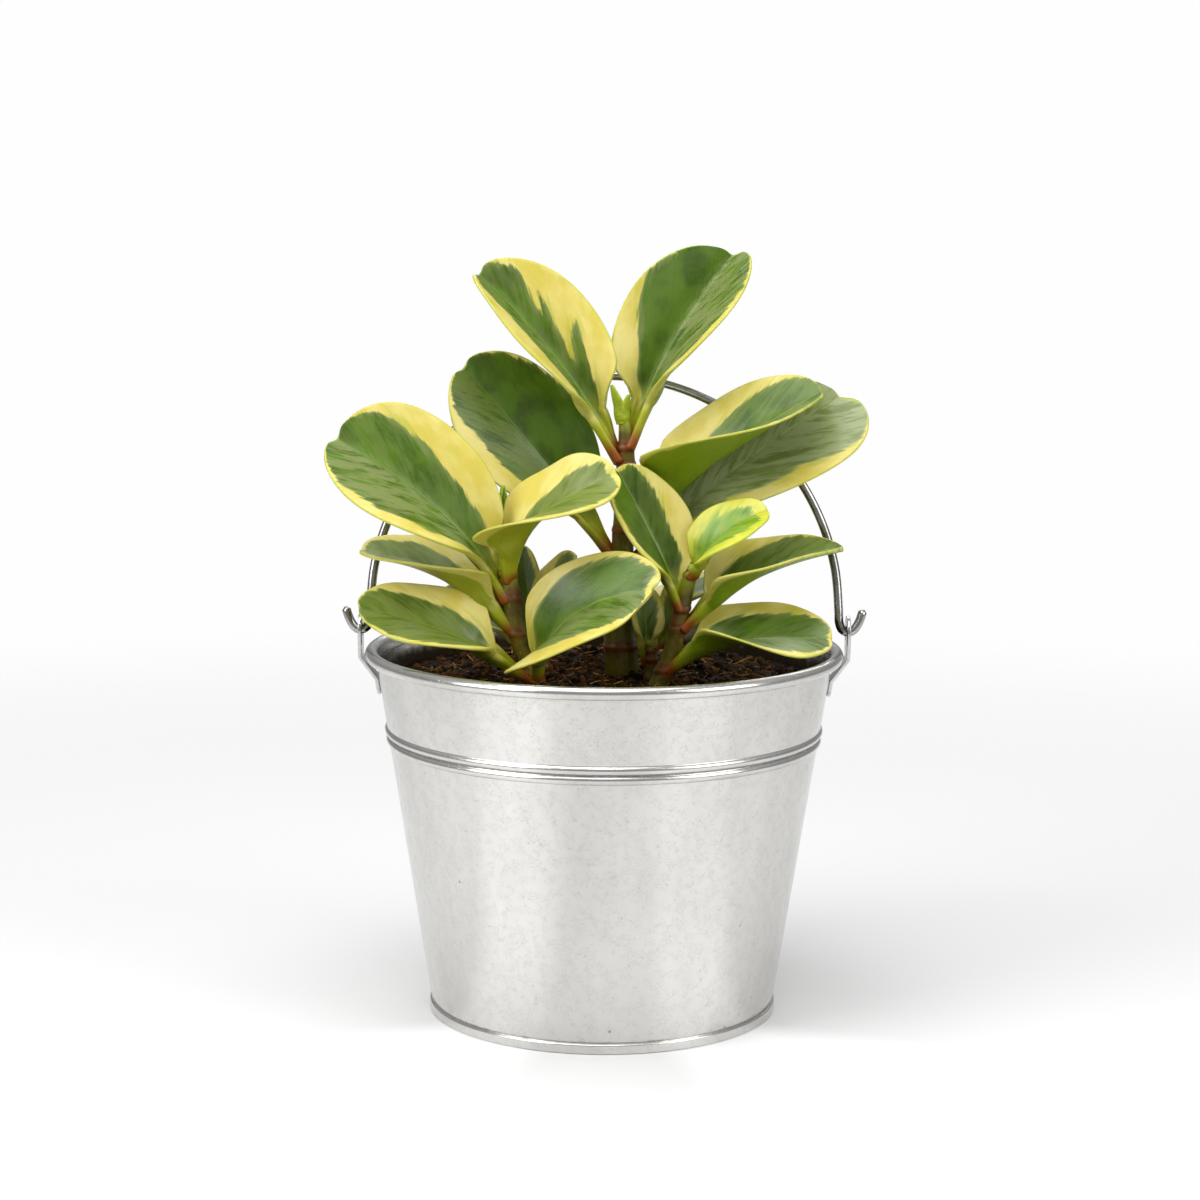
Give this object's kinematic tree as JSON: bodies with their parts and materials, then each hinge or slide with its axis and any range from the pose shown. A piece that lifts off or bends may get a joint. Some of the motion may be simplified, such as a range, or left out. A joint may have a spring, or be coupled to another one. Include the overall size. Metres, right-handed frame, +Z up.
{
  "type": "potted variegated baby rubber plant",
  "caption": "Bushy houseplant with thick cream-edged oval leaves, growing in soil in a small galvanised bucket with a swinging wire bail.",
  "frame": {"origin": "centre of the ring that the bucket stands on, on the ground plane", "axes": "+Z up along the bucket's axis, +X to the right ear and along the bail's hinge line, -Y to the front"},
  "size_m": [0.168, 0.15, 0.241],
  "materials": {
    "zinc_sheet": "dull galvanised zinc, finely mottled",
    "ear_steel": "galvanised steel strip, darker and rougher than the wall",
    "bail_wire": "smooth dark galvanised wire",
    "potting_soil": "loose moist peat with bark and fibres",
    "stem": "smooth satin olive stem, red-brown at the joints",
    "leaf": "thick waxy blade, green with cream-yellow margin"
  },
  "bodies": {
    "pot": {"bucket_wall": "zinc_sheet", "bucket_base": "zinc_sheet", "ear_right": "ear_steel", "ear_left": "ear_steel", "soil": "potting_soil", "stem_centre": "stem", "stem_left": "stem", "stem_right": "stem", "shoot_left": "stem", "shoot_right": "stem", "leaf_centre_1": "leaf", "leaf_centre_2": "leaf", "leaf_centre_3": "leaf", "leaf_centre_4": "leaf", "leaf_centre_5": "leaf", "leaf_left_1": "leaf", "leaf_left_2": "leaf", "leaf_left_3": "leaf", "leaf_left_4": "leaf", "leaf_left_5": "leaf", "leaf_right_1": "leaf", "leaf_right_2": "leaf", "leaf_right_3": "leaf", "leaf_right_4": "leaf", "leaf_shoot_left_1": "leaf", "leaf_shoot_left_2": "leaf", "leaf_shoot_left_3": "leaf", "leaf_shoot_right_1": "leaf", "leaf_shoot_right_2": "leaf", "leaf_back_1": "leaf", "leaf_back_2": "leaf", "leaf_back_3": "leaf", "leaf_back_4": "leaf"},
    "bail": {"bail": "bail_wire"}
  },
  "joints": [
    {"name": "bail_swing", "type": "hinge", "parent": "pot", "child": "bail", "pos_m": [0, 0, 0.1207], "axis": [-1, 0, 0], "range_deg": [0, 86]}
  ]
}
